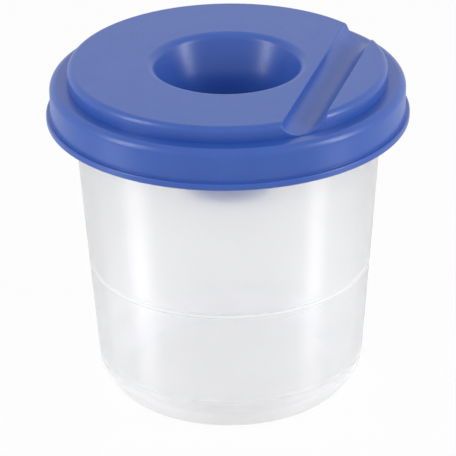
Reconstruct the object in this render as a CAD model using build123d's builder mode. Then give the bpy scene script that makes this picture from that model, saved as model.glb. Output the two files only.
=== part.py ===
from build123d import *
import math
import os

os.makedirs("parts", exist_ok=True)

# A non-spill brush pot: a tapered translucent cup, and a lid that snaps over its rim.
# Millimetres, +Z up. The origin is the middle of the cup's foot, on the table.

# Cup
cup_height = 81.8  # table to the flat top of the rim
mouth_radius = 38.85  # outside of the wall, where it meets the rim
foot_radius = 32.95  # outside of the wall, carried straight down to the table
cup_wall = 1.2
floor_thickness = 1.4
base_band_height = 6.7  # the slanting band that leads from the wall in to the foot
base_band_reach = 3.9  # how far in from the wall's line the band would meet the table
base_crease = 1.0  # round where the band leaves the wall
base_round = 5.8  # outside corner between the band and the foot
recess_depth = 0.6  # hollow under the floor, so that the cup stands on a ring
recess_radius = 19.0
recess_flare = 0.6  # slope of the hollow's edge, which lets it leave the mould
fill_line_height = 34.75
fill_line_bead = 0.3  # how far the ring that marks the highest water level stands out

# Turned-over rim of the cup
rim_reach = 3.15  # from the wall's outside to the rim's outside
rim_wall = 1.1
rim_drop = 3.4  # from the rim's top to the end of its turned-down edge
rim_round = 1.0
mouth_edge_round = 0.4

# Lid, from the skirt inwards
lid_wall = 1.2
snap_clearance = 0.3  # between the snap bead and the rim that it passes
snap_bead = 0.5  # how far the bead stands in from the skirt
snap_play = 0.2  # between the rim's turned-down edge and the bead below it
snap_lead = 0.5  # slope on each side of the bead
skirt_depth = 9.8  # from the ledge down to the open edge
shoulder_round = 2.0
lip_reach = 1.0  # the finger lip around the open edge
lip_height = 1.7
lip_round = 0.4
ledge_width = 4.5  # from the skirt's outside in to the raised disc
step_height = 4.0  # the raised disc above the ledge
disc_round = 1.5

# Funnel in the middle of the lid
funnel_mouth_radius = 17.95  # where the cone's inside would meet the lid's top
funnel_tip_radius = 9.7
funnel_depth = 32.7  # from the lid's top to the open tip
mouth_round = 2.0

# Brush rest: a half-round channel across the raised disc
channel_radius = 4.5
channel_sill = 0.4  # the channel's floor above the ledge
channel_land = 2.64  # flat top left between the funnel's mouth and the channel
channel_edge_round = 0.35

# Levels
ledge_top = cup_height + lid_wall
lid_top = ledge_top + step_height
skirt_bottom = ledge_top - skirt_depth
lip_top = skirt_bottom + lip_height
funnel_tip = lid_top - funnel_depth
floor_top = recess_depth + floor_thickness

# Radii that follow one another from the cup's mouth outwards
rim_radius = mouth_radius + rim_reach
skirt_inside = rim_radius + snap_clearance + snap_bead
skirt_radius = skirt_inside + lid_wall
lip_radius = skirt_radius + lip_reach
disc_radius = skirt_radius - ledge_width

# The cup's wall leans out by the same amount inside and outside
wall_lean = (mouth_radius - foot_radius) / cup_height
wall_across = cup_wall * math.hypot(1, wall_lean)


def wall_radius(height):
    return foot_radius + wall_lean * height


# The slanting band at the base has the wall's thickness too, so its inside starts a little higher
band_slope = base_band_reach / base_band_height + wall_lean
band_across = cup_wall * math.hypot(1, band_slope)
band_foot = wall_radius(base_band_height) - band_slope * base_band_height
inside_crease = base_band_height + (band_across - wall_across) / (band_slope - wall_lean)
inside_crease_radius = wall_radius(inside_crease) - wall_across
band_floor_radius = band_foot + band_slope * floor_top - band_across

# The funnel's wall is a cone of even thickness
funnel_slope = (funnel_mouth_radius - funnel_tip_radius) / funnel_depth
funnel_across = lid_wall * math.hypot(1, funnel_slope)
funnel_under_radius = funnel_mouth_radius - funnel_slope * lid_wall + funnel_across
mouth_turn = math.pi / 2 - math.atan(funnel_slope)
mouth_edge_radius = funnel_mouth_radius + mouth_round * math.tan(mouth_turn / 2)

# The channel's centre line lies above the lid's top, so its section is less than half a circle
channel_depth = step_height - channel_sill
channel_centre = lid_top - channel_depth + channel_radius
channel_half_width = math.sqrt(channel_radius**2 - (channel_radius - channel_depth) ** 2)
channel_offset = mouth_edge_radius + channel_land + channel_half_width

# ---------------------------------------------------------------- cup
# One closed section is revolved: floor, wall and the rim turned over like a J.
rim_under = cup_height - rim_wall
rim_edge = cup_height - rim_drop
bead_half = fill_line_bead / 2
bead_low = fill_line_height - fill_line_bead
bead_high = fill_line_height + fill_line_bead
bead_radius = wall_radius(fill_line_height) + fill_line_bead
cup_outline = [
    (0, recess_depth),
    (recess_radius, recess_depth),
    (recess_radius + recess_flare, 0),
    (band_foot, 0),
    (wall_radius(base_band_height), base_band_height),
    (wall_radius(bead_low), bead_low),
    (bead_radius, fill_line_height - bead_half),
    (bead_radius, fill_line_height + bead_half),
    (wall_radius(bead_high), bead_high),
    (wall_radius(rim_under), rim_under),
    (rim_radius - rim_wall, rim_under),
    (rim_radius - rim_wall, rim_edge),
    (rim_radius, rim_edge),
    (rim_radius, cup_height),
    (mouth_radius - wall_across, cup_height),
    (inside_crease_radius, inside_crease),
    (band_floor_radius, floor_top),
    (0, floor_top),
]
cup_rounds = [
    0,
    0,
    0,
    base_round,
    base_crease,
    0,
    0,
    0,
    0,
    0,
    0,
    0,
    0,
    rim_round,
    mouth_edge_round,
    base_crease,
    base_round - cup_wall,
    0,
]

with BuildPart() as cup:
    with BuildSketch(Plane.XZ):
        with BuildLine():
            FilletPolyline(*cup_outline, radius=cup_rounds, close=True)
        make_face()
    revolve(axis=Axis.Z)
cup.part.label = "cup"
export_step(cup.part, "parts/cup.step")

# ---------------------------------------------------------------- lid
# One closed section: lip, skirt, shoulder, ledge, step, top and funnel, back along the underside,
# and the bead inside the skirt that snaps under the cup's rim.
bead_height = rim_edge - snap_play - snap_lead
lid_outline = [
    (skirt_inside, skirt_bottom),
    (lip_radius, skirt_bottom),
    (lip_radius, lip_top),
    (skirt_radius, lip_top),
    (skirt_radius, ledge_top),
    (disc_radius, ledge_top),
    (disc_radius, lid_top),
    (funnel_mouth_radius, lid_top),
    (funnel_tip_radius, funnel_tip),
    (funnel_tip_radius + funnel_across, funnel_tip),
    (funnel_under_radius, lid_top - lid_wall),
    (disc_radius - lid_wall, lid_top - lid_wall),
    (disc_radius - lid_wall, cup_height),
    (skirt_inside, cup_height),
    (skirt_inside, bead_height + snap_lead),
    (skirt_inside - snap_bead, bead_height),
    (skirt_inside, bead_height - snap_lead),
]
lid_rounds = [
    0,
    lip_round,
    lip_round,
    0,
    shoulder_round,
    0,
    disc_round,
    mouth_round,
    0,
    0,
    mouth_round + lid_wall,
    0,
    0,
    0,
    0,
    0,
    0,
]
mid_wall = lid_wall / 2

with BuildPart() as lid:
    # The brush rest starts as a solid bar that ends inside the thickness of the shell
    with BuildSketch(Plane.XZ):
        with Locations((channel_offset, channel_centre)):
            Circle(channel_radius + lid_wall)
    extrude(amount=disc_radius, both=True)
    with BuildSketch(Plane.XY.offset(cup_height)):
        Circle(disc_radius - mid_wall)
    extrude(amount=lid_top - mid_wall - cup_height, mode=Mode.INTERSECT)
    # The shell is revolved around it
    with BuildSketch(Plane.XZ):
        with BuildLine():
            FilletPolyline(*lid_outline, radius=lid_rounds, close=True)
        make_face()
    revolve(axis=Axis.Z)
    # The channel is hollowed out of the bar and runs out through the step at both ends
    with BuildSketch(Plane.XZ):
        with Locations((channel_offset, channel_centre)):
            Circle(channel_radius)
    extrude(amount=lip_radius, both=True, mode=Mode.SUBTRACT)
    fillet(lid.edges(Select.LAST), channel_edge_round)
lid.part.label = "lid"
export_step(lid.part, "parts/lid.step")
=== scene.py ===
# %% [markdown]
# # A non-spill brush pot
# A school paint pot is two mouldings. The cup is natural polypropylene, which is milky and
# lets a lot of light through. The lid is blue polyethylene with a soft satin skin. It snaps over the
# cup's rim, carries a brush rest across its top, and has a funnel that hangs into the water, so that
# the pot keeps its water when it is knocked over.
#
# Both pieces are turned shapes: one outline, spun around the upright axis. The lesson builds them
# from that outline with Geometry Nodes, cuts the brush rest into the lid, and then spends its care
# on the two plastics and on the light.

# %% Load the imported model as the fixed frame
import math

import bmesh
import bpy
from mathutils import Matrix, Vector


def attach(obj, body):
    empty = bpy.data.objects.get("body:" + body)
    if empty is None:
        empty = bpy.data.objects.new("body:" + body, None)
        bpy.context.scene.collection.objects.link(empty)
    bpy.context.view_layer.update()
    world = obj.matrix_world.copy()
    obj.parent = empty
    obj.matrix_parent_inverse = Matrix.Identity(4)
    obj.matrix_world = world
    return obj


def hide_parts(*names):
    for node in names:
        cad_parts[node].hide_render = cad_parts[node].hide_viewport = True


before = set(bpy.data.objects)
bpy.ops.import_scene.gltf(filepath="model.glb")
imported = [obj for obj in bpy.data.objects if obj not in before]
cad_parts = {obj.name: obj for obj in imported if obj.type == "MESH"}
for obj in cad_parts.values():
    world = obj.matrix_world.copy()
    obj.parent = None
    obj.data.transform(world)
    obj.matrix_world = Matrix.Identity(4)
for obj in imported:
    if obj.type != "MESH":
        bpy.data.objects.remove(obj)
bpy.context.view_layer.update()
MM = 0.001
scene = bpy.context.scene

# %% [markdown]
# ## Two small helpers
# Colours are written as sRGB hex, the way a designer reads them off a swatch. A shader works with
# linear light, so one function does the change. Another adds a node with its settings and its
# inputs; an input may be a plain value or the output of an earlier node. It serves shader trees and
# geometry trees alike.

# %% Colour and node helpers
NODE_SPACING = 200


def linear(hex_colour):
    """An sRGB hex colour as linear red, green, blue and full alpha."""
    channels = []
    for start in (1, 3, 5):
        value = int(hex_colour[start : start + 2], 16) / 255
        # The sRGB curve is straight near black and a power above it
        channels.append(value / 12.92 if value <= 0.04045 else ((value + 0.055) / 1.055) ** 2.4)
    return (*channels, 1.0)


def add_node(tree, kind, inputs=None, **settings):
    """Adds a node, sets it, and feeds its inputs from values or from other nodes' sockets."""
    node = tree.nodes.new(kind)
    node.location = (NODE_SPACING * len(tree.nodes), 0)
    for name, value in settings.items():
        setattr(node, name, value)
    for key, value in (inputs or {}).items():
        if isinstance(value, bpy.types.NodeSocket):
            tree.links.new(value, node.inputs[key])
        else:
            node.inputs[key].default_value = value
    return node


print("middle grey in linear light", [round(c, 3) for c in linear("#808080")])

# %% [markdown]
# ## The camera
# The picture was taken from a little above, with a long lens, so the ellipses of the lid and of the
# fill line are almost the same shape. The view was worked out by fitting a camera to those outlines.
# Its numbers are the point it looks at, an azimuth around the pot, an elevation, a distance, a lens
# and a slight roll. The azimuth isn't zero because the pot's frame has its brush rest along Y, and
# the camera stood a little to one side of that line.

# %% Camera
VIEW_AZIMUTH = math.radians(15.87)
VIEW_ELEVATION = math.radians(26.145)
VIEW_ROLL = math.radians(-0.759)
VIEW_DISTANCE = 0.7996
VIEW_TARGET = Vector((-0.00035, -0.0001, 0.04154))
LENS_PIXELS = 3168.8
PICTURE_PIXELS = 456
SENSOR_WIDTH = 36  # millimetres

camera_data = bpy.data.cameras.new("camera")
camera_data.sensor_width = SENSOR_WIDTH
camera_data.lens = LENS_PIXELS / PICTURE_PIXELS * camera_data.sensor_width
camera = bpy.data.objects.new("camera", camera_data)
scene.collection.objects.link(camera)
turn = (
    Matrix.Rotation(VIEW_AZIMUTH, 4, "Z")
    @ Matrix.Rotation(math.pi / 2 - VIEW_ELEVATION, 4, "X")
    @ Matrix.Rotation(VIEW_ROLL, 4, "Z")
)
stand = VIEW_TARGET + turn.to_3x3() @ Vector((0, 0, VIEW_DISTANCE))
camera.matrix_world = Matrix.Translation(stand) @ turn
scene.camera = camera
print("camera stands at", [round(c, 3) for c in stand], "with a lens of", round(camera_data.lens, 1), "mm")

# %% [markdown]
# ## Natural polypropylene
# Polypropylene without pigment is milky. Light that enters the wall is scattered a little, so what
# lies behind the wall shows as a blurred, paler shape, like the blue funnel under the lid. The index
# of refraction is 1.49, and the moulded skin is a fine satin.
#
# Glass with a high roughness would give the blur alone. The milk comes from a Transmission Weight
# below one: what isn't transmitted goes to the nearly white base colour, as the haze inside the
# plastic does. Where the plastic is thickest, more of it is haze: a little in the raised fill line,
# and most of it at the corner of the foot, which therefore shows as a paler rim below the wall.
# Height and radius say where that is, so two masks are enough and nothing needs to be painted.

# %% Cup material: where the plastic is thick
def new_material(name):
    """A material with an empty node tree; returns both."""
    material = bpy.data.materials.new(name)
    material.use_nodes = True
    material.node_tree.nodes.clear()
    return material, material.node_tree


# Millimetres above the table and from the axis
FILL_LINE_HEIGHT = 34.75
LINE_HAZE_STARTS, LINE_HAZE_FULL = 0.65, 0.25  # above and below the line's middle
FOOT_HAZE_TOP, FOOT_HAZE_FULL = 11, 5.5
FLOOR_CLEAR_RADIUS, FLOOR_HAZE_RADIUS = 24, 28

polypropylene, tree = new_material("natural polypropylene, satin moulded")
position = add_node(tree, "ShaderNodeTexCoord")
axes = add_node(tree, "ShaderNodeSeparateXYZ", {"Vector": position.outputs["Object"]})
flat = add_node(
    tree, "ShaderNodeVectorMath", {0: position.outputs["Object"], 1: (1, 1, 0)}, operation="MULTIPLY"
)
from_axis = add_node(tree, "ShaderNodeVectorMath", {0: flat.outputs[0]}, operation="LENGTH")

ramps = []
for source, start, end in (
    (axes.outputs["Z"], FOOT_HAZE_TOP, FOOT_HAZE_FULL),
    (from_axis.outputs["Value"], FLOOR_CLEAR_RADIUS, FLOOR_HAZE_RADIUS),
    (axes.outputs["Z"], FILL_LINE_HEIGHT - LINE_HAZE_STARTS, FILL_LINE_HEIGHT - LINE_HAZE_FULL),
    (axes.outputs["Z"], FILL_LINE_HEIGHT + LINE_HAZE_STARTS, FILL_LINE_HEIGHT + LINE_HAZE_FULL),
):
    ramp = add_node(
        tree,
        "ShaderNodeMapRange",
        {"Value": source, "From Min": start * MM, "From Max": end * MM},
        interpolation_type="SMOOTHSTEP",
    )
    ramps.append(ramp.outputs[0])
foot_mask = add_node(tree, "ShaderNodeMath", {0: ramps[0], 1: ramps[1]}, operation="MULTIPLY")
line_mask = add_node(tree, "ShaderNodeMath", {0: ramps[2], 1: ramps[3]}, operation="MULTIPLY")
print("cup material", polypropylene.name, "has", len(tree.nodes), "nodes for its masks")

# %% [markdown]
# The roughness changes slowly over the piece, like the flow of the melt, and the changes are about
# a centimetre wide. Lamps have one difficulty with such a wall: light that refracts through it on
# its way from a lamp is hardly ever found by chance, so the inside of the cup would stay dark. For
# shadow rays alone most of the surface is therefore plainly transparent, and the lamps light the
# cup's inside and the paper behind it as they do through real polypropylene.

# %% Cup material: shader
# Share of the light that goes through; the rest is scattered back as haze
CLEAR_WALL = 0.78
CLEAR_LINE = 0.50
CLEAR_FOOT = 0.12
SHADOW_CLEAR = 0.8  # share of a lamp's light that goes straight through

# A noise texture keeps mostly between these two values
NOISE_LOW, NOISE_HIGH = 0.3, 0.7
FLOW_WIDTH = 11.1 * MM  # of one patch in the roughness
SMOOTHEST_CUP, ROUGHEST_CUP = 0.20, 0.25

flow = add_node(
    tree,
    "ShaderNodeTexNoise",
    {"Vector": position.outputs["Object"], "Scale": 1 / FLOW_WIDTH, "Detail": 3.0},
)
satin = add_node(
    tree,
    "ShaderNodeMapRange",
    {
        "Value": flow.outputs[0],
        "From Min": NOISE_LOW,
        "From Max": NOISE_HIGH,
        "To Min": SMOOTHEST_CUP,
        "To Max": ROUGHEST_CUP,
    },
)
wall_or_line = add_node(
    tree, "ShaderNodeMapRange", {"Value": line_mask.outputs[0], "To Min": CLEAR_WALL, "To Max": CLEAR_LINE}
)
transmission = add_node(
    tree,
    "ShaderNodeMapRange",
    {"Value": foot_mask.outputs[0], "To Min": wall_or_line.outputs[0], "To Max": CLEAR_FOOT},
)
plastic = add_node(
    tree,
    "ShaderNodeBsdfPrincipled",
    {
        "Base Color": linear("#FCFCFD"),
        "Roughness": satin.outputs[0],
        "IOR": 1.49,
        "Transmission Weight": transmission.outputs[0],
    },
)
rays = add_node(tree, "ShaderNodeLightPath")
let_through = add_node(
    tree, "ShaderNodeMath", {0: rays.outputs["Is Shadow Ray"], 1: SHADOW_CLEAR}, operation="MULTIPLY"
)
window = add_node(tree, "ShaderNodeBsdfTransparent")
surface = add_node(
    tree, "ShaderNodeMixShader", {0: let_through.outputs[0], 1: plastic.outputs[0], 2: window.outputs[0]}
)
add_node(tree, "ShaderNodeOutputMaterial", {"Surface": surface.outputs[0]})
print("transmission: wall", CLEAR_WALL, "fill line", CLEAR_LINE, "foot", CLEAR_FOOT)

# %% [markdown]
# ## Blue polyethylene
# The lid is pigmented all the way through, so its colour is the same on every edge. Polyethylene
# moulds to a softer satin than polypropylene: the highlights on the rounds are wide and milky, and
# the flat top mirrors the bright room behind it just enough to look paler than the skirt. Its index
# is 1.54. The pigment is a little denser here and there, in a mottle seven millimetres wide, and the
# skin has a shallow grain. Real grain is finer than a tenth of a millimetre. It is drawn more than
# ten times as coarse, so that it still breaks up the highlights at the size of the picture.

# %% Lid material
MOTTLE_WIDTH = 7.14 * MM
GRAIN_WIDTH = 1.11 * MM
GRAIN_HEIGHT = 0.04 * MM
SMOOTHEST_LID, ROUGHEST_LID = 0.30, 0.35

polyethylene, tree = new_material("blue polyethylene, satin moulded")
position = add_node(tree, "ShaderNodeTexCoord")
mottle = add_node(
    tree,
    "ShaderNodeTexNoise",
    {"Vector": position.outputs["Object"], "Scale": 1 / MOTTLE_WIDTH, "Detail": 4.0},
)
pigment = add_node(
    tree,
    "ShaderNodeMix",
    {0: mottle.outputs[0], 6: linear("#2B54AA"), 7: linear("#335CB3")},
    data_type="RGBA",
)
grain = add_node(
    tree,
    "ShaderNodeTexNoise",
    {"Vector": position.outputs["Object"], "Scale": 1 / GRAIN_WIDTH, "Detail": 3.0},
)
satin = add_node(
    tree,
    "ShaderNodeMapRange",
    {
        "Value": grain.outputs[0],
        "From Min": NOISE_LOW,
        "From Max": NOISE_HIGH,
        "To Min": SMOOTHEST_LID,
        "To Max": ROUGHEST_LID,
    },
)
bump = add_node(
    tree, "ShaderNodeBump", {"Height": grain.outputs[0], "Strength": 0.12, "Distance": GRAIN_HEIGHT}
)
plastic = add_node(
    tree,
    "ShaderNodeBsdfPrincipled",
    {
        "Base Color": pigment.outputs[2],
        "Roughness": satin.outputs[0],
        "IOR": 1.54,
        "Normal": bump.outputs[0],
    },
)
add_node(tree, "ShaderNodeOutputMaterial", {"Surface": plastic.outputs[0]})
print("lid material", polyethylene.name)

# %% [markdown]
# ## The turned shell
# A potter would call this a template: the outline of half a section, spun around an axis. The Screw
# modifier and the Spin tool can do it too. Here it is a Geometry Nodes tree, because the tree can
# also round the outline's corners. Each corner carries its own radius as an attribute, so the
# outline stays a short list of sharp points that can be read against a drawing.
#
# Curve to Mesh places the outline at every station of a circle. Its outline has to be shifted by
# that circle's radius and turned over, because the node draws the outline's second axis downwards.

# %% Geometry tree that rounds an outline and spins it
PATH_RADIUS = 10 * MM  # any size will do, because the shift takes it off again
SEAM_WELD = 0.001 * MM


def new_tree(name, inputs):
    """A geometry tree with the named inputs and a material; returns it with its input node."""
    tree = bpy.data.node_groups.new(name, "GeometryNodeTree")
    for label, kind, default in inputs:
        socket = tree.interface.new_socket(label, in_out="INPUT", socket_type=kind)
        if default is not None:
            socket.default_value = default
    tree.interface.new_socket("Material", in_out="INPUT", socket_type="NodeSocketMaterial")
    tree.interface.new_socket("Geometry", in_out="OUTPUT", socket_type="NodeSocketGeometry")
    return tree, add_node(tree, "NodeGroupInput")


def close_tree(tree, given, geometry):
    """Ends a tree: instances become real, and the faces take the material."""
    real = add_node(tree, "GeometryNodeRealizeInstances", {"Geometry": geometry})
    coated = add_node(
        tree,
        "GeometryNodeSetMaterial",
        {"Geometry": real.outputs[0], "Material": given.outputs["Material"]},
    )
    add_node(tree, "NodeGroupOutput", {"Geometry": coated.outputs[0]})


turned, given = new_tree(
    "turned shell",
    [
        ("Outline", "NodeSocketGeometry", None),
        ("Stations", "NodeSocketInt", 192),
        ("Corner points", "NodeSocketInt", 8),
    ],
)
sharp = add_node(turned, "GeometryNodeMeshToCurve", {"Mesh": given.outputs["Outline"]})
corner = add_node(
    turned, "GeometryNodeInputNamedAttribute", {"Name": "corner_radius"}, data_type="FLOAT"
)
rounded = add_node(
    turned,
    "GeometryNodeFilletCurve",
    {"Curve": sharp.outputs[0], "Radius": corner.outputs[0], "Count": given.outputs["Corner points"]},
    mode="POLY",
)
placed = add_node(
    turned,
    "GeometryNodeTransform",
    {"Geometry": rounded.outputs[0], "Translation": (-PATH_RADIUS, 0, 0), "Scale": (1, -1, 1)},
)
path = add_node(
    turned,
    "GeometryNodeCurvePrimitiveCircle",
    {"Resolution": given.outputs["Stations"], "Radius": PATH_RADIUS},
    mode="RADIUS",
)
spun = add_node(
    turned, "GeometryNodeCurveToMesh", {"Curve": path.outputs[0], "Profile Curve": placed.outputs[0]}
)
welded = add_node(
    turned, "GeometryNodeMergeByDistance", {"Geometry": spun.outputs[0], "Distance": SEAM_WELD}
)
close_tree(turned, given, welded.outputs[0])
print("tree", turned.name, "has", len(turned.nodes), "nodes")

# %% Outlines become meshes, and trees become pieces
def outline_mesh(name, corners, closed):
    """A chain of edges through (radius, height, corner radius) points in millimetres."""
    mesh = bpy.data.meshes.new(name)
    count = len(corners)
    edges = [(i, (i + 1) % count) for i in range(count if closed else count - 1)]
    mesh.from_pydata([(radius * MM, height * MM, 0) for radius, height, _ in corners], edges, [])
    radii = mesh.attributes.new("corner_radius", "FLOAT", "POINT")
    radii.data.foreach_set("value", [bend * MM for _, _, bend in corners])
    return mesh


def grow(name, mesh, tree, values):
    """Runs a geometry tree on a mesh and returns the result as a plain mesh object."""
    piece = bpy.data.objects.new(name, mesh)
    scene.collection.objects.link(piece)
    modifier = piece.modifiers.new("tree", "NODES")
    modifier.node_group = tree
    for item in tree.interface.items_tree:
        if item.in_out == "INPUT" and item.name in values:
            modifier[item.identifier] = values[item.name]
    graph = bpy.context.evaluated_depsgraph_get()
    result = bpy.data.meshes.new_from_object(piece.evaluated_get(graph))
    piece.modifiers.clear()
    piece.data = result
    result.name = name
    print(name, "grown by the tree", tree.name, "with", len(result.polygons), "faces")
    return piece


# %% [markdown]
# ## The cup
# The outline runs from the middle of the floor's top, up the inside of the wall, over the rim, which
# is turned down like a J to stiffen the mouth, down the outside and in to the middle of the foot.
# Its two ends lie on the axis, so the spun shell closes by itself. The sizes are the drawing's, apart
# from two that the eye asks for: rounder creases around the base band, and a lower and softer fill
# line, because sharp ones would draw hard lines through the haze. The small rounds on the rim and on
# the hollow's edge are added here too.

# %% Sizes of the cup, in millimetres
CUP_HEIGHT = 81.8
MOUTH_RADIUS = 38.85  # outside of the wall, where it meets the rim
FOOT_RADIUS = 32.95  # outside of the wall, carried straight down to the table
CUP_WALL = 1.2
FLOOR_THICKNESS = 1.4
BASE_BAND_HEIGHT = 6.7  # the slanting band that leads from the wall in to the foot
BASE_BAND_REACH = 3.9
BASE_CREASE_ROUND = 3.0
INSIDE_CREASE_ROUND = 8.0
BASE_ROUND = 5.8
RECESS_DEPTH = 0.6  # hollow under the floor, so that the cup stands on a ring
RECESS_RADIUS = 19.0
RECESS_FLARE = 0.6
RECESS_ROUND = 0.2
FILL_LINE_BEAD = 0.15  # how far the line stands out from the wall
FILL_LINE_REACH = 0.6  # from its middle up and down to the wall
FILL_LINE_ROUND = 1.5
RIM_REACH = 3.15  # from the wall's outside to the rim's outside
RIM_WALL = 1.1
RIM_DROP = 3.4
RIM_ROUND = 1.0
RIM_EDGE_ROUND = 0.2
RIM_INSIDE_ROUND = 0.3
MOUTH_EDGE_ROUND = 0.4

WALL_LEAN = (MOUTH_RADIUS - FOOT_RADIUS) / CUP_HEIGHT
WALL_ACROSS = CUP_WALL * math.hypot(1, WALL_LEAN)
RIM_RADIUS = MOUTH_RADIUS + RIM_REACH
RIM_UNDER = CUP_HEIGHT - RIM_WALL
RIM_EDGE = CUP_HEIGHT - RIM_DROP
FLOOR_TOP = RECESS_DEPTH + FLOOR_THICKNESS


def wall_radius(height):
    """Outside of the cup's wall at a height above the table."""
    return FOOT_RADIUS + WALL_LEAN * height


BAND_SLOPE = BASE_BAND_REACH / BASE_BAND_HEIGHT + WALL_LEAN
BAND_ACROSS = CUP_WALL * math.hypot(1, BAND_SLOPE)
BAND_FOOT = wall_radius(BASE_BAND_HEIGHT) - BAND_SLOPE * BASE_BAND_HEIGHT
INSIDE_CREASE = BASE_BAND_HEIGHT + (BAND_ACROSS - WALL_ACROSS) / (BAND_SLOPE - WALL_LEAN)
print("the wall leans out by", round(math.degrees(math.atan(WALL_LEAN)), 2), "degrees")

# %% Outline of the cup
LINE_LOW = FILL_LINE_HEIGHT - FILL_LINE_REACH
LINE_HIGH = FILL_LINE_HEIGHT + FILL_LINE_REACH
cup_outline = [
    (0, FLOOR_TOP, 0),
    (BAND_FOOT + BAND_SLOPE * FLOOR_TOP - BAND_ACROSS, FLOOR_TOP, BASE_ROUND - CUP_WALL),
    (wall_radius(INSIDE_CREASE) - WALL_ACROSS, INSIDE_CREASE, INSIDE_CREASE_ROUND),
    (MOUTH_RADIUS - WALL_ACROSS, CUP_HEIGHT, MOUTH_EDGE_ROUND),
    (RIM_RADIUS, CUP_HEIGHT, RIM_ROUND),
    (RIM_RADIUS, RIM_EDGE, RIM_EDGE_ROUND),
    (RIM_RADIUS - RIM_WALL, RIM_EDGE, RIM_EDGE_ROUND),
    (RIM_RADIUS - RIM_WALL, RIM_UNDER, RIM_INSIDE_ROUND),
    (wall_radius(RIM_UNDER), RIM_UNDER, RIM_INSIDE_ROUND),
    (wall_radius(LINE_HIGH), LINE_HIGH, FILL_LINE_ROUND),
    (wall_radius(FILL_LINE_HEIGHT) + FILL_LINE_BEAD, FILL_LINE_HEIGHT, FILL_LINE_ROUND),
    (wall_radius(LINE_LOW), LINE_LOW, FILL_LINE_ROUND),
    (wall_radius(BASE_BAND_HEIGHT), BASE_BAND_HEIGHT, BASE_CREASE_ROUND),
    (BAND_FOOT, 0, BASE_ROUND),
    (RECESS_RADIUS + RECESS_FLARE, 0, RECESS_ROUND),
    (RECESS_RADIUS, RECESS_DEPTH, RECESS_ROUND),
    (0, RECESS_DEPTH, 0),
]
cup = grow(
    "cup_moulding",
    outline_mesh("cup_moulding", cup_outline, closed=False),
    turned,
    {"Stations": 256, "Corner points": 10, "Material": polypropylene},
)
print("cup outline has", len(cup_outline), "corners")

# %% [markdown]
# ## The lid
# The lid is one skin about 1.2 mm thick. From the outside in, its outline has a finger lip, the
# skirt that grips the cup, a round shoulder, a ledge, the step up to the raised disc, and the round
# mouth of the funnel. Then it comes back along the underside, so this outline is a closed loop.
# The skirt's inside carries a small bead that snaps under the cup's rim.
#
# The funnel is a slight bell: its wall leans out by 22 degrees in the first centimetre and by 12
# below. Two upright highlights show it. They run down the funnel's far side, and a wall that stood
# steeper there would mirror the other side of the funnel to the camera and not the lamps. The bell's
# mouth is a little wider than the drawing's plain cone, so less flat land is left beside the brush
# rest, which lies where the drawing has it. The other sizes are the drawing's, with small rounds
# added on edges that it leaves sharp.

# %% Sizes of the lid, in millimetres
LID_WALL = 1.2
SNAP_CLEARANCE = 0.3  # between the snap bead and the rim that it passes
SNAP_BEAD = 0.5  # how far the bead stands in from the skirt
SNAP_PLAY = 0.2  # between the rim's turned-down edge and the bead below it
SNAP_LEAD = 0.5  # slope on each side of the bead
SNAP_ROUND = 0.3
SEAT_ROUND = 0.5  # where the skirt's inside meets the ledge, which sits on the rim
SKIRT_DEPTH = 9.8  # from the ledge down to the open edge
SKIRT_EDGE_ROUND = 0.3
SHOULDER_ROUND = 2.0
LIP_REACH = 1.0  # the finger lip around the open edge
LIP_HEIGHT = 1.7
LIP_ROUND = 0.4
VALLEY_ROUND = 0.15  # between the skirt and the lip
LEDGE_WIDTH = 4.5
STEP_HEIGHT = 4.0  # the raised disc above the ledge
DISC_ROUND = 1.5
DISC_INSIDE_ROUND = 0.3
FUNNEL_MOUTH_RADIUS = 18.45
FUNNEL_KNEE_RADIUS = 14.5  # where the bell turns into the steeper spout
FUNNEL_KNEE_DEPTH = 10.0
FUNNEL_TIP_RADIUS = 9.7
FUNNEL_DEPTH = 32.7
MOUTH_ROUND = 2.4
KNEE_ROUND = 25.0
TIP_ROUND = 0.25

LEDGE_TOP = CUP_HEIGHT + LID_WALL
LID_TOP = LEDGE_TOP + STEP_HEIGHT
SKIRT_BOTTOM = LEDGE_TOP - SKIRT_DEPTH
LIP_TOP = SKIRT_BOTTOM + LIP_HEIGHT
FUNNEL_TIP = LID_TOP - FUNNEL_DEPTH
SKIRT_INSIDE = RIM_RADIUS + SNAP_CLEARANCE + SNAP_BEAD
SKIRT_RADIUS = SKIRT_INSIDE + LID_WALL
LIP_RADIUS = SKIRT_RADIUS + LIP_REACH
DISC_RADIUS = SKIRT_RADIUS - LEDGE_WIDTH
BELL_SLOPE = (FUNNEL_MOUTH_RADIUS - FUNNEL_KNEE_RADIUS) / FUNNEL_KNEE_DEPTH
BELL_ACROSS = LID_WALL * math.hypot(1, BELL_SLOPE)
BELL_UNDER_RADIUS = FUNNEL_MOUTH_RADIUS - BELL_SLOPE * LID_WALL + BELL_ACROSS
SPOUT_SLOPE = (FUNNEL_KNEE_RADIUS - FUNNEL_TIP_RADIUS) / (FUNNEL_DEPTH - FUNNEL_KNEE_DEPTH)
SPOUT_ACROSS = LID_WALL * math.hypot(1, SPOUT_SLOPE)
KNEE_HEIGHT = LID_TOP - FUNNEL_KNEE_DEPTH
BEAD_HEIGHT = RIM_EDGE - SNAP_PLAY - SNAP_LEAD

print("lid", 2 * LIP_RADIUS, "mm across, top at", LID_TOP, "mm")

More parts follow.
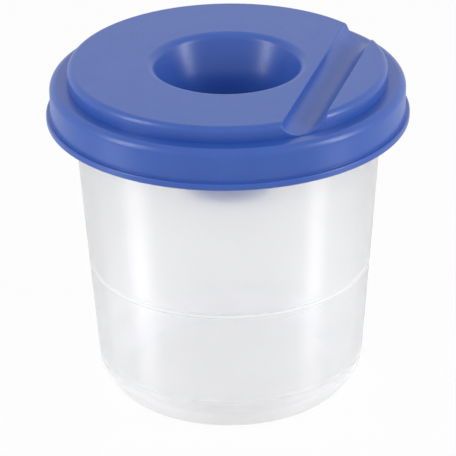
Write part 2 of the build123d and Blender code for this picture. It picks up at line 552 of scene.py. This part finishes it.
# %% Outline of the lid
lid_outline = [
    (SKIRT_INSIDE, BEAD_HEIGHT - SNAP_LEAD, SNAP_ROUND),
    (SKIRT_INSIDE - SNAP_BEAD, BEAD_HEIGHT, SNAP_ROUND),
    (SKIRT_INSIDE, BEAD_HEIGHT + SNAP_LEAD, SNAP_ROUND),
    (SKIRT_INSIDE, CUP_HEIGHT, SEAT_ROUND),
    (DISC_RADIUS - LID_WALL, CUP_HEIGHT, DISC_INSIDE_ROUND),
    (DISC_RADIUS - LID_WALL, LID_TOP - LID_WALL, DISC_INSIDE_ROUND),
    (BELL_UNDER_RADIUS, LID_TOP - LID_WALL, MOUTH_ROUND + LID_WALL),
    (FUNNEL_KNEE_RADIUS + SPOUT_ACROSS, KNEE_HEIGHT, KNEE_ROUND + LID_WALL),
    (FUNNEL_TIP_RADIUS + SPOUT_ACROSS, FUNNEL_TIP, TIP_ROUND),
    (FUNNEL_TIP_RADIUS, FUNNEL_TIP, TIP_ROUND),
    (FUNNEL_KNEE_RADIUS, KNEE_HEIGHT, KNEE_ROUND),
    (FUNNEL_MOUTH_RADIUS, LID_TOP, MOUTH_ROUND),
    (DISC_RADIUS, LID_TOP, DISC_ROUND),
    (DISC_RADIUS, LEDGE_TOP, 0),
    (SKIRT_RADIUS, LEDGE_TOP, SHOULDER_ROUND),
    (SKIRT_RADIUS, LIP_TOP, VALLEY_ROUND),
    (LIP_RADIUS, LIP_TOP, LIP_ROUND),
    (LIP_RADIUS, SKIRT_BOTTOM, LIP_ROUND),
    (SKIRT_INSIDE, SKIRT_BOTTOM, SKIRT_EDGE_ROUND),
]
print("lid outline has", len(lid_outline), "corners")

# %% [markdown]
# ## The brush rest
# The rest is a half-round channel, open at both ends, so that a brush lies across the lid and its
# drips run off over the ledge. In the mould it is a bar-shaped bulge under the lid's top with a
# channel along it.
#
# What sells the channel is its edge: a fine round that catches the light along both sides and around
# both ends. A Bevel modifier on the cut's edges is the usual way, but where a cut crosses curved
# faces at a flat angle it leaves pinches. So the round is worked out instead. Think of a small ball
# that rolls along inside the plastic and touches both the lid's skin and the channel. Its centre is
# one radius under the skin and one radius outside the channel, which two short formulas give. The
# ball's own surface between its two touching points is the round. A cutter that has this flare built
# in leaves the finished edge behind, in a single boolean.

# %% Sizes of the brush rest, in millimetres
CHANNEL_RADIUS = 4.5
CHANNEL_SILL = 0.4  # the channel's floor above the ledge
CHANNEL_LAND = 2.07  # flat top left between the funnel's mouth and the channel
CHANNEL_EDGE_ROUND = 0.35

channel_depth = STEP_HEIGHT - CHANNEL_SILL
channel_height = LID_TOP - channel_depth + CHANNEL_RADIUS
channel_half_width = math.sqrt(CHANNEL_RADIUS**2 - (CHANNEL_RADIUS - channel_depth) ** 2)
mouth_turn = math.pi / 2 - math.atan(BELL_SLOPE)
mouth_edge_radius = FUNNEL_MOUTH_RADIUS + MOUTH_ROUND * math.tan(mouth_turn / 2)
channel_offset = mouth_edge_radius + CHANNEL_LAND + channel_half_width
print("channel", round(2 * channel_half_width, 2), "mm wide,", round(channel_offset, 2), "mm from the axis")

# %% Where the rolling ball is
ball_reach = CHANNEL_RADIUS + CHANNEL_EDGE_ROUND
ball_top = LID_TOP - CHANNEL_EDGE_ROUND
widest = math.acos((channel_height - ball_top) / ball_reach)


def ball_at(angle, end):
    """The ball's centre and the skin's outward direction there, for an angle around the channel."""
    x = channel_offset + ball_reach * math.sin(angle)
    z = min(channel_height - ball_reach * math.cos(angle), ball_top)
    climb = z - (LID_TOP - DISC_ROUND)
    if climb > 0:
        inner = DISC_ROUND - CHANNEL_EDGE_ROUND
        out = math.sqrt(max(inner**2 - climb**2, 0))
        radius = DISC_RADIUS - DISC_ROUND + out
        outwards, upwards = out / inner, climb / inner
    else:
        radius = DISC_RADIUS - CHANNEL_EDGE_ROUND
        outwards, upwards = 1, 0
    y = end * math.sqrt(radius**2 - x**2)
    return Vector((x, y, z)), Vector((outwards * x / radius, outwards * y / radius, upwards))


print("the ball climbs the channel's sides up to", round(math.degrees(widest), 1), "degrees")

# %% The cutter, ring by ring
CUTTER_SIDES = 64  # steps around the half-round of the channel
CUTTER_ARC = 6  # steps over the rolled edge
# The rolled edge stops short of lying flat on the skin, so that the cut crosses it at a clear angle
CROSSING = math.radians(12)
OVERRUN = 0.08  # straight on through the skin, in millimetres
HEADROOM = 6  # from there to clear of the lid, in millimetres


def cutter_loop():
    """Once around the channel's edge, as pairs of an angle and an end."""
    turns = [widest * (2 * i / CUTTER_SIDES - 1) for i in range(CUTTER_SIDES + 1)]
    return [(angle, 1) for angle in turns] + [(angle, -1) for angle in reversed(turns)]


def cutter_mesh():
    """A closed mesh of the channel with its rolled edge, in metres."""
    loop = cutter_loop()
    rings = []
    for angle, end in loop:
        centre, skin = ball_at(angle, end)
        inward = Vector((-math.sin(angle), 0, math.cos(angle)))
        sweep = inward.angle(skin)
        across = (skin - inward * math.cos(sweep)).normalized()
        ring = []
        for step in range(CUTTER_ARC + 1):
            turn = (sweep - CROSSING) * step / CUTTER_ARC
            ring.append(centre + CHANNEL_EDGE_ROUND * (inward * math.cos(turn) + across * math.sin(turn)))
        last = sweep - CROSSING
        ring.append(ring[-1] + OVERRUN * (across * math.cos(last) - inward * math.sin(last)))
        ring.append(ring[-1] + HEADROOM * skin)
        ring.append(Vector((ring[-1].x, ring[-1].y, LID_TOP + 2 * HEADROOM)))
        rings.append(ring)
    deep, count = len(rings[0]), len(rings)
    points = [point * MM for ring in rings for point in ring]
    faces = []
    for i in range(count):
        j = (i + 1) % count
        for k in range(deep - 1):
            faces.append((i * deep + k, j * deep + k, j * deep + k + 1, i * deep + k + 1))
    half = count // 2
    for i in range(half - 1):
        faces.append((i * deep, (count - 1 - i) * deep, (count - 2 - i) * deep, (i + 1) * deep))
    faces.append(tuple(i * deep + deep - 1 for i in range(count)))
    mesh = bpy.data.meshes.new("channel_cutter")
    mesh.from_pydata(points, [], faces)
    shape = bmesh.new()
    shape.from_mesh(mesh)
    bmesh.ops.recalc_face_normals(shape, faces=shape.faces)
    print("cutter closed:", all(edge.is_manifold for edge in shape.edges), "faces", len(shape.faces))
    shape.to_mesh(mesh)
    shape.free()
    return mesh


cutter = bpy.data.objects.new("channel_cutter", cutter_mesh())
scene.collection.objects.link(cutter)

# %% [markdown]
# ## From shell to lid
# The second tree takes the turned shell and does three booleans. A bar under the channel is trimmed
# by a puck, so that it ends inside the thickness of the skin. The bar is joined to the shell, and the
# cutter is taken away. The exact solver is slower than the fast one, but it copes with faces that
# touch. A boolean node takes any number of meshes in its second socket, so that one is linked twice.

# %% Geometry tree that adds the bar and cuts the channel
BAR_SIDES = 96
PUCK_SIDES = 250
CUT_WELD = 0.002 * MM

rest_tree, given = new_tree(
    "brush rest",
    [
        ("Shell", "NodeSocketGeometry", None),
        ("Cutter", "NodeSocketObject", None),
        ("Axis", "NodeSocketVector", None),
        ("Bar radius", "NodeSocketFloat", None),
        ("Bar length", "NodeSocketFloat", None),
        ("Puck radius", "NodeSocketFloat", None),
        ("Puck bottom", "NodeSocketFloat", None),
        ("Puck top", "NodeSocketFloat", None),
    ],
)
rod = add_node(
    rest_tree,
    "GeometryNodeMeshCylinder",
    {"Vertices": BAR_SIDES, "Radius": given.outputs["Bar radius"], "Depth": given.outputs["Bar length"]},
)
bar = add_node(
    rest_tree,
    "GeometryNodeTransform",
    {
        "Geometry": rod.outputs["Mesh"],
        "Translation": given.outputs["Axis"],
        "Rotation": (math.pi / 2, 0, 0),
    },
)
puck_height = add_node(
    rest_tree,
    "ShaderNodeMath",
    {0: given.outputs["Puck top"], 1: given.outputs["Puck bottom"]},
    operation="SUBTRACT",
)
puck_middle = add_node(
    rest_tree,
    "ShaderNodeMath",
    {0: puck_height.outputs[0], 1: 0.5, 2: given.outputs["Puck bottom"]},
    operation="MULTIPLY_ADD",
)
disc = add_node(
    rest_tree,
    "GeometryNodeMeshCylinder",
    {"Vertices": PUCK_SIDES, "Radius": given.outputs["Puck radius"], "Depth": puck_height.outputs[0]},
)
lift = add_node(rest_tree, "ShaderNodeCombineXYZ", {"Z": puck_middle.outputs[0]})
puck = add_node(
    rest_tree, "GeometryNodeTransform", {"Geometry": disc.outputs["Mesh"], "Translation": lift.outputs[0]}
)
blade = add_node(rest_tree, "GeometryNodeObjectInfo", {"Object": given.outputs["Cutter"]})
trimmed = add_node(
    rest_tree, "GeometryNodeMeshBoolean", {"Mesh 2": bar.outputs[0]}, operation="INTERSECT", solver="EXACT"
)
rest_tree.links.new(puck.outputs[0], trimmed.inputs["Mesh 2"])
joined = add_node(
    rest_tree,
    "GeometryNodeMeshBoolean",
    {"Mesh 2": given.outputs["Shell"]},
    operation="UNION",
    solver="EXACT",
)
rest_tree.links.new(trimmed.outputs["Mesh"], joined.inputs["Mesh 2"])
channelled = add_node(
    rest_tree,
    "GeometryNodeMeshBoolean",
    {"Mesh 1": joined.outputs["Mesh"], "Mesh 2": blade.outputs["Geometry"]},
    operation="DIFFERENCE",
    solver="EXACT",
)
clean = add_node(
    rest_tree,
    "GeometryNodeMergeByDistance",
    {"Geometry": channelled.outputs["Mesh"], "Distance": CUT_WELD},
)
close_tree(rest_tree, given, clean.outputs[0])
print("tree", rest_tree.name, "has", len(rest_tree.nodes), "nodes")

# %% Grow the lid
shell = grow(
    "lid_shell",
    outline_mesh("lid_shell", lid_outline, closed=True),
    turned,
    {"Stations": 320, "Corner points": 10, "Material": polyethylene},
)
lid = grow(
    "lid_moulding",
    shell.data,
    rest_tree,
    {
        "Cutter": cutter,
        "Axis": (channel_offset * MM, 0, channel_height * MM),
        "Bar radius": (CHANNEL_RADIUS + LID_WALL) * MM,
        # Longer than the lid is wide, because the puck trims it
        "Bar length": 3 * DISC_RADIUS * MM,
        "Puck radius": (DISC_RADIUS - LID_WALL / 2) * MM,
        "Puck bottom": CUP_HEIGHT * MM,
        "Puck top": (LID_TOP - LID_WALL / 2) * MM,
        "Material": polyethylene,
    },
)
bpy.data.objects.remove(shell)
bpy.data.objects.remove(cutter)

# %% [markdown]
# ## Clean shading
# Every face is shaded smooth, the few edges that really are sharp are marked by their angle, and a
# Weighted Normal modifier lets the large faces set the shading, so that the flat top stays flat
# right up to its rounds. The modifier is applied, because the finished piece is a plain mesh.

# %% Shading and applied modifiers
SHARP_ANGLE = math.radians(35)


def finish_mesh(piece):
    """Gives the piece its shading and keeps the result as a plain mesh."""
    piece.data.shade_smooth()
    piece.data.set_sharp_from_angle(angle=SHARP_ANGLE)
    weighted = piece.modifiers.new("flat faces stay flat", "WEIGHTED_NORMAL")
    weighted.keep_sharp = True
    graph = bpy.context.evaluated_depsgraph_get()
    mesh = bpy.data.meshes.new_from_object(piece.evaluated_get(graph))
    piece.modifiers.clear()
    piece.data = mesh
    mesh.name = piece.name
    print(piece.name, len(mesh.polygons), "faces")


finish_mesh(cup)
finish_mesh(lid)

# %% [markdown]
# ## Pieces on their bodies
# Each finished piece has its material from its tree. It rides on its body and stands for the CAD node of
# the same moulding, which stays in the frame for the motion model.

# %% Bodies and nodes
for piece, node, slot in ((cup, "cup", "cup_polypropylene"), (lid, "lid", "lid_polyethylene")):
    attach(piece, node)
    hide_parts(node)
    print(piece.name, "rides on", node, "with material", piece.data.materials[0].name)

# %% [markdown]
# ## Light on the paper
# The light that fits the picture is a white tent with two tall soft boxes, left and right of the
# camera. The cup's two bright upright bands can't be those lamps. Seen from above, an upright wall
# mirrors the table and nothing higher, so something bright must lie on the white paper beside the
# pot. Here it is drawn and not lit: two bright areas that only mirrored rays see. They are fitted to
# this one camera and light nothing.
#
# The higher a point of the wall is, the farther out on the paper lies what it mirrors. A round patch
# would therefore make a band that swells towards the foot. A wedge that starts at the wall and
# widens outwards makes a band of even width. The direction follows from the mirror rule: the wall's
# normal points halfway between the camera and the middle of the wedge.

# %% Wedges of painted light
WEDGE_START = 36 * MM  # the cup's radius half-way up its wall
WEDGE_TIP = 5 * MM  # half its width where it starts
WEDGE_NARROWEST = 0.1 * MM  # keeps the division below away from zero
WEDGE_SOFT_EDGE = 0.1  # full brightness within this share of its half-width
WEDGE_DARK_END, WEDGE_BRIGHT_FROM = -20 * MM, 70 * MM
WEDGE_LENGTH = 230 * MM


# Painted light: a wedge of brightness drawn into the paper, which only mirrored rays see and which lights
# nothing
def painted_light_wedge(tree, azimuth, opening):
    """A value of 1 along the middle of a wedge and 0 outside it; the azimuth counts from the camera."""
    normal = VIEW_AZIMUTH + azimuth / 2
    position = add_node(tree, "ShaderNodeTexCoord")
    local = add_node(
        tree,
        "ShaderNodeMapping",
        {
            "Vector": position.outputs["Object"],
            "Location": (WEDGE_START * math.sin(normal), -WEDGE_START * math.cos(normal), 0),
            "Rotation": (0, 0, VIEW_AZIMUTH + azimuth - math.pi / 2),
        },
        vector_type="TEXTURE",
    )
    axes = add_node(tree, "ShaderNodeSeparateXYZ", {"Vector": local.outputs[0]})
    aside = add_node(tree, "ShaderNodeMath", {0: axes.outputs["Y"]}, operation="ABSOLUTE")
    reach = add_node(
        tree, "ShaderNodeMath", {0: axes.outputs["X"], 1: opening, 2: WEDGE_TIP}, operation="MULTIPLY_ADD"
    )
    width = add_node(tree, "ShaderNodeMath", {0: reach.outputs[0], 1: WEDGE_NARROWEST}, operation="MAXIMUM")
    share = add_node(tree, "ShaderNodeMath", {0: aside.outputs[0], 1: width.outputs[0]}, operation="DIVIDE")
    wedge = 1.0
    for source, start, end in (
        (share.outputs[0], 1.0, WEDGE_SOFT_EDGE),  # inwards from its sides
        (axes.outputs["X"], WEDGE_DARK_END, WEDGE_BRIGHT_FROM),  # outwards from the pot
        (axes.outputs["X"], WEDGE_LENGTH, WEDGE_LENGTH / 2),  # back from its far end
    ):
        ramp = add_node(
            tree,
            "ShaderNodeMapRange",
            {"Value": source, "From Min": start, "From Max": end},
            interpolation_type="SMOOTHSTEP",
        )
        wedge = add_node(
            tree, "ShaderNodeMath", {0: ramp.outputs[0], 1: wedge}, operation="MULTIPLY"
        ).outputs[0]
    return wedge


print("the wedges start", WEDGE_START / MM, "mm from the axis and end", WEDGE_LENGTH / MM, "mm farther out")

# %% [markdown]
# ## Floor and room
# The floor is matt white paper. Some rays show a surface: those of the camera, of mirrored light and
# of light that comes through the cup. All others gather light. For the first kind most of the paper
# is a plain white glow, which gives the clean white of a product picture, and a tenth stays matt, so
# that the pot keeps its shadow. Through the cup it is all glow, because a shadow seen through a
# blurring wall is only noise. A ray that bends through a satin wall counts as mirrored too, so the
# larger of its values is taken.
#
# Mirrored light also sees the wedges. Away from them the mirrored paper is a little under white,
# which draws the outline of the cup against the background.
#
# The room is treated in the same way: white where it is seen, dimmer where it lights the pot, so
# that the soft boxes still shape it.

# %% Floor
FLOOR_HALF = 3.0
FLOOR_GAP = 0.02 * MM  # a hair below the foot, so that no two faces share a plane
WEDGE_LIGHT = 2.7  # added where mirrored light meets a wedge
MIRRORED_PAPER = 0.85
GLOW_SHARE = 0.9

floor_mesh = bpy.data.meshes.new("floor")
corners = [(x * FLOOR_HALF, y * FLOOR_HALF, 0) for x, y in ((-1, -1), (1, -1), (1, 1), (-1, 1))]
floor_mesh.from_pydata(corners, [], [(0, 1, 2, 3)])
floor = bpy.data.objects.new("floor", floor_mesh)
floor.location.z = -FLOOR_GAP
scene.collection.objects.link(floor)
paper, tree = new_material("white paper sweep")


def ray_shares(tree, camera, glossy, transmission):
    """A number with one value each for camera, glossy and transmission rays, and 0 for other rays."""
    rays = add_node(tree, "ShaderNodeLightPath")
    total = 0.0
    for ray, value in (
        ("Is Camera Ray", camera),
        ("Is Glossy Ray", glossy),
        ("Is Transmission Ray", transmission),
    ):
        share = add_node(tree, "ShaderNodeMath", {0: rays.outputs[ray], 1: value}, operation="MULTIPLY")
        larger = add_node(tree, "ShaderNodeMath", {0: share.outputs[0], 1: total}, operation="MAXIMUM")
        total = larger.outputs[0]
    return total


# Painted light: the two wedges give the painted highlight bands that the cup mirrors
left = painted_light_wedge(tree, azimuth=math.radians(-77), opening=0.32)
right = painted_light_wedge(tree, azimuth=math.radians(73), opening=0.24)
lit = add_node(tree, "ShaderNodeMath", {0: left, 1: right}, operation="ADD")
mirrored = add_node(
    tree,
    "ShaderNodeMath",
    {0: lit.outputs[0], 1: WEDGE_LIGHT, 2: MIRRORED_PAPER},
    operation="MULTIPLY_ADD",
)
matt = add_node(tree, "ShaderNodeBsdfDiffuse", {"Color": linear("#F7F7F7")})
glow = add_node(
    tree,
    "ShaderNodeEmission",
    {"Color": linear("#FFFFFF"), "Strength": ray_shares(tree, 1.0, mirrored.outputs[0], 1.0)},
)
sheet = add_node(
    tree,
    "ShaderNodeMixShader",
    {0: ray_shares(tree, GLOW_SHARE, GLOW_SHARE, 1.0), 1: matt.outputs[0], 2: glow.outputs[0]},
)
add_node(tree, "ShaderNodeOutputMaterial", {"Surface": sheet.outputs[0]})
floor.data.materials.append(paper)
print("floor", 2 * FLOOR_HALF, "m across,", len(tree.nodes), "nodes in its paper")

# %% World
ROOM_LIGHT = 0.6

world = bpy.data.worlds.new("white tent")
world.use_nodes = True
world.node_tree.nodes.clear()
scene.world = world
tree = world.node_tree
brightness = add_node(
    tree,
    "ShaderNodeMapRange",
    {"Value": ray_shares(tree, 1.0, 1.0, 1.0), "To Min": ROOM_LIGHT, "To Max": 1.0},
)
tent = add_node(
    tree, "ShaderNodeBackground", {"Color": linear("#FFFFFF"), "Strength": brightness.outputs[0]}
)
add_node(tree, "ShaderNodeOutputWorld", {"Surface": tent.outputs[0]})
print("the room lights the pot at", ROOM_LIGHT, "of white")

# %% [markdown]
# ## Lamps
# Both soft boxes are tall and stand well to the side, a little above the pot. They are narrow, so
# that the highlights on the lid's rounds stay short: one on the shoulder and one on the edge of the
# raised disc on each side, and the two in the funnel. Their strength is given as radiance, which is
# how bright the lamp's face looks, and the power follows from its size.

# %% Soft boxes
LAMP_DISTANCE = 0.7
LAMP_ELEVATION = math.radians(24)
LAMP_HEIGHT = 0.5
LAMP_AIM = Vector((0, 0, 0.04))


def soft_box(name, azimuth, width, radiance):
    """A tall lamp that faces the pot, at an azimuth that counts from the camera."""
    lamp = bpy.data.lights.new(name, "AREA")
    lamp.shape = "RECTANGLE"
    lamp.size = width
    lamp.size_y = LAMP_HEIGHT
    lamp.energy = radiance * width * LAMP_HEIGHT * math.pi
    box = bpy.data.objects.new(name, lamp)
    scene.collection.objects.link(box)
    sideways = Matrix.Rotation(VIEW_AZIMUTH + azimuth, 4, "Z")
    turn = sideways @ Matrix.Rotation(math.pi / 2 - LAMP_ELEVATION, 4, "X")
    box.matrix_world = Matrix.Translation(LAMP_AIM + turn.to_3x3() @ Vector((0, 0, LAMP_DISTANCE))) @ turn
    print(name, round(lamp.energy, 2), "W")


soft_box("soft box left", math.radians(-68), width=0.14, radiance=8.2)
soft_box("soft box right", math.radians(72), width=0.12, radiance=10.5)

# %% Colour management
scene.view_settings.view_transform = "Standard"
print("view transform", scene.view_settings.view_transform)
